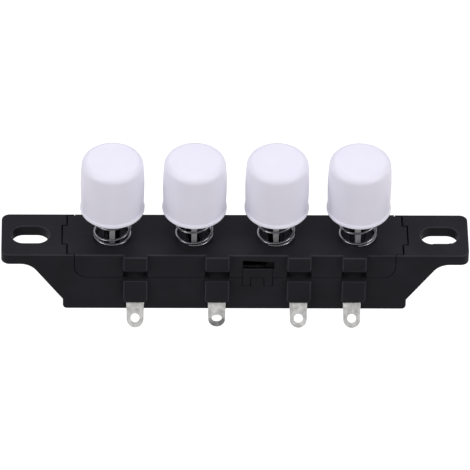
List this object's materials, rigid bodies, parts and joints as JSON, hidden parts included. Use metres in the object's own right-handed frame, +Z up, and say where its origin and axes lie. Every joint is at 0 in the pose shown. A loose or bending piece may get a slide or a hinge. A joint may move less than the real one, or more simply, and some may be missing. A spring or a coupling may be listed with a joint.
{
  "type": "latching piano key switch",
  "caption": "Piano key switch for a fan: black slotted-ear housing with sprung white round keys on steel stems and bent solder lugs along its front.",
  "frame": {"origin": "on the top face of the ears, halfway between the two mounting slots", "axes": "+X along the row of keys to the right, +Y from the front with the lugs to the back, +Z up along the keys' travel"},
  "size_m": [0.105, 0.0183, 0.0408],
  "materials": {
    "housing_plastic": "satin moulded ABS",
    "cap_plastic": "semi-gloss moulded ABS",
    "plated_steel": "zinc plated, stamped",
    "spring_steel": "drawn wire, nickel plated",
    "tinned_brass": "tin plated brass strip",
    "contact_bronze": "rolled bronze strip",
    "carrier_plastic": "black moulded insulator, glass-filled nylon"
  },
  "bodies": {
    "housing": {"housing_base": "housing_plastic", "housing_cover": "housing_plastic", "terminal_speed_1": "tinned_brass", "terminal_speed_2": "tinned_brass", "terminal_speed_3": "tinned_brass", "terminal_common": "tinned_brass", "latch_rod": "plated_steel", "latch_spring": "spring_steel", "key_spring_1": "spring_steel", "key_spring_2": "spring_steel", "key_spring_3": "spring_steel", "key_spring_4": "spring_steel"},
    "key_1": {"key_cap_1": "cap_plastic", "key_stem_1": "plated_steel", "contact_carrier_1": "carrier_plastic", "contact_wiper_1": "contact_bronze"},
    "key_2": {"key_cap_2": "cap_plastic", "key_stem_2": "plated_steel", "contact_carrier_2": "carrier_plastic", "contact_wiper_2": "contact_bronze"},
    "key_3": {"key_cap_3": "cap_plastic", "key_stem_3": "plated_steel", "contact_carrier_3": "carrier_plastic", "contact_wiper_3": "contact_bronze"},
    "key_4": {"key_cap_4": "cap_plastic", "key_stem_4": "plated_steel"},
    "latch": {"latch_plate": "plated_steel"}
  },
  "joints": [
    {"name": "key_1_press", "type": "slide", "parent": "housing", "child": "key_1", "axis": [0, 0, -1], "range_m": [0, 0.005], "stiffness_N_per_m": 400, "springref_m": -0.003, "deforming": ["key_spring_1"]},
    {"name": "key_2_press", "type": "slide", "parent": "housing", "child": "key_2", "axis": [0, 0, -1], "range_m": [0, 0.005], "stiffness_N_per_m": 400, "springref_m": -0.003, "deforming": ["key_spring_2"]},
    {"name": "key_3_press", "type": "slide", "parent": "housing", "child": "key_3", "axis": [0, 0, -1], "range_m": [0, 0.005], "stiffness_N_per_m": 400, "springref_m": -0.003, "deforming": ["key_spring_3"]},
    {"name": "key_4_press", "type": "slide", "parent": "housing", "child": "key_4", "axis": [0, 0, -1], "range_m": [0, 0.005], "stiffness_N_per_m": 400, "springref_m": -0.003, "deforming": ["key_spring_4"]},
    {"name": "latch_swing", "type": "hinge", "parent": "housing", "child": "latch", "pos_m": [0, 0.0041, -0.0132], "axis": [1, 0, 0], "range_deg": [0, 11], "stiffness_Nm_per_rad": 0.004}
  ]
}
